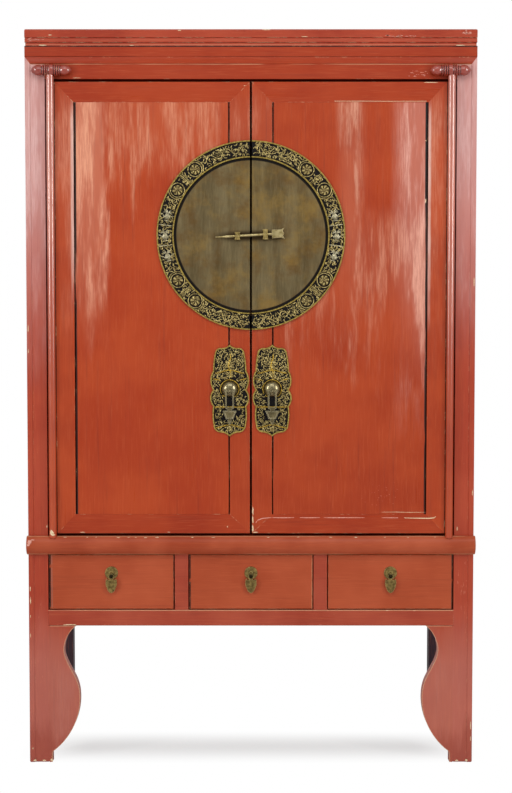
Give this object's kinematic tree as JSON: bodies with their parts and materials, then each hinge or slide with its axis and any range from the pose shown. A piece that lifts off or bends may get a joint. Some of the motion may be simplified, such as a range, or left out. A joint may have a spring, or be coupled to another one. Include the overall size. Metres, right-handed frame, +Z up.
{
  "type": "wedding cabinet",
  "caption": "Tall red lacquered two-door cabinet with a round brass lock plate, sliding locking pin, hanging pulls, a row of drawers and shaped leg brackets.",
  "frame": {"origin": "on the floor, in the middle of the overall width and depth", "axes": "+X to the viewer's right facing the doors, +Y towards the back, +Z up"},
  "size_m": [1.146, 0.591, 1.87],
  "materials": {
    "red_lacquer": "satin",
    "bare_wood": "matte",
    "aged_brass": "satin"
  },
  "bodies": {
    "carcass": {"front_left_post": "red_lacquer", "front_right_post": "red_lacquer", "back_left_post": "red_lacquer", "back_right_post": "red_lacquer", "front_head_rail": "red_lacquer", "front_waist_rail": "red_lacquer", "front_lower_rail": "red_lacquer", "waist_moulding": "red_lacquer", "drawer_dividers": "red_lacquer", "side_rails": "red_lacquer", "back_rails": "red_lacquer", "left_side_panels": "red_lacquer", "right_side_panels": "red_lacquer", "back_panels": "bare_wood", "top_frame": "red_lacquer", "top_panel": "red_lacquer", "cupboard_floor": "bare_wood", "shelf": "bare_wood", "shelf_bearers": "bare_wood", "drawer_runners": "bare_wood", "drawer_guides": "bare_wood", "left_leg_bracket": "red_lacquer", "right_leg_bracket": "red_lacquer", "left_pivot_block": "red_lacquer", "right_pivot_block": "red_lacquer"},
    "left_door": {"left_hinge_stile": "red_lacquer", "left_meeting_stile": "red_lacquer", "left_door_rails": "red_lacquer", "left_door_panel": "red_lacquer", "left_door_battens": "bare_wood", "left_disc_plate": "aged_brass", "left_disc_border": "aged_brass", "left_lock_staple": "aged_brass", "left_pull_plate": "aged_brass", "left_pull_boss": "aged_brass"},
    "left_hanging_pull": {"left_door_pull": "aged_brass"},
    "right_door": {"right_hinge_stile": "red_lacquer", "right_meeting_stile": "red_lacquer", "right_door_rails": "red_lacquer", "right_door_panel": "red_lacquer", "right_door_battens": "bare_wood", "right_disc_plate": "aged_brass", "right_disc_border": "aged_brass", "right_lock_staple": "aged_brass", "right_pull_plate": "aged_brass", "right_pull_boss": "aged_brass"},
    "right_hanging_pull": {"right_door_pull": "aged_brass"},
    "locking_pin": {"lock_pin": "aged_brass"},
    "left_drawer": {"left_drawer_front": "red_lacquer", "left_drawer_box": "bare_wood", "left_drawer_rosette": "aged_brass"},
    "left_leaf_pull": {"left_drawer_pull": "aged_brass"},
    "middle_drawer": {"middle_drawer_front": "red_lacquer", "middle_drawer_box": "bare_wood", "middle_drawer_rosette": "aged_brass"},
    "middle_leaf_pull": {"middle_drawer_pull": "aged_brass"},
    "right_drawer": {"right_drawer_front": "red_lacquer", "right_drawer_box": "bare_wood", "right_drawer_rosette": "aged_brass"},
    "right_leaf_pull": {"right_drawer_pull": "aged_brass"}
  },
  "joints": [
    {"name": "left_door_hinge", "type": "hinge", "parent": "carcass", "child": "left_door", "pos_m": [-0.505, -0.2747, 1.2], "axis": [0, 0, -1], "range_deg": [0, 160]},
    {"name": "left_door_pull_swing", "type": "hinge", "parent": "left_door", "child": "left_hanging_pull", "pos_m": [-0.054, -0.2905, 0.96], "axis": [-1, 0, 0], "range_deg": [-4, 100]},
    {"name": "right_door_hinge", "type": "hinge", "parent": "carcass", "child": "right_door", "pos_m": [0.505, -0.2747, 1.2], "axis": [0, 0, 1], "range_deg": [0, 160]},
    {"name": "right_door_pull_swing", "type": "hinge", "parent": "right_door", "child": "right_hanging_pull", "pos_m": [0.054, -0.2905, 0.96], "axis": [-1, 0, 0], "range_deg": [-4, 100]},
    {"name": "lock_pin_slide", "type": "slide", "parent": "right_door", "child": "locking_pin", "axis": [0.9984, 0, 0.0566], "range_m": [0, 0.115]},
    {"name": "left_drawer_slide", "type": "slide", "parent": "carcass", "child": "left_drawer", "axis": [0, -1, 0], "range_m": [0, 0.33]},
    {"name": "left_drawer_pull_swing", "type": "hinge", "parent": "left_drawer", "child": "left_leaf_pull", "pos_m": [-0.35775, -0.2705, 0.4875], "axis": [-1, 0, 0], "range_deg": [-6, 100]},
    {"name": "middle_drawer_slide", "type": "slide", "parent": "carcass", "child": "middle_drawer", "axis": [0, -1, 0], "range_m": [0, 0.33]},
    {"name": "middle_drawer_pull_swing", "type": "hinge", "parent": "middle_drawer", "child": "middle_leaf_pull", "pos_m": [0, -0.2705, 0.4875], "axis": [-1, 0, 0], "range_deg": [-6, 100]},
    {"name": "right_drawer_slide", "type": "slide", "parent": "carcass", "child": "right_drawer", "axis": [0, -1, 0], "range_m": [0, 0.33]},
    {"name": "right_drawer_pull_swing", "type": "hinge", "parent": "right_drawer", "child": "right_leaf_pull", "pos_m": [0.35775, -0.2705, 0.4875], "axis": [-1, 0, 0], "range_deg": [-6, 100]}
  ]
}
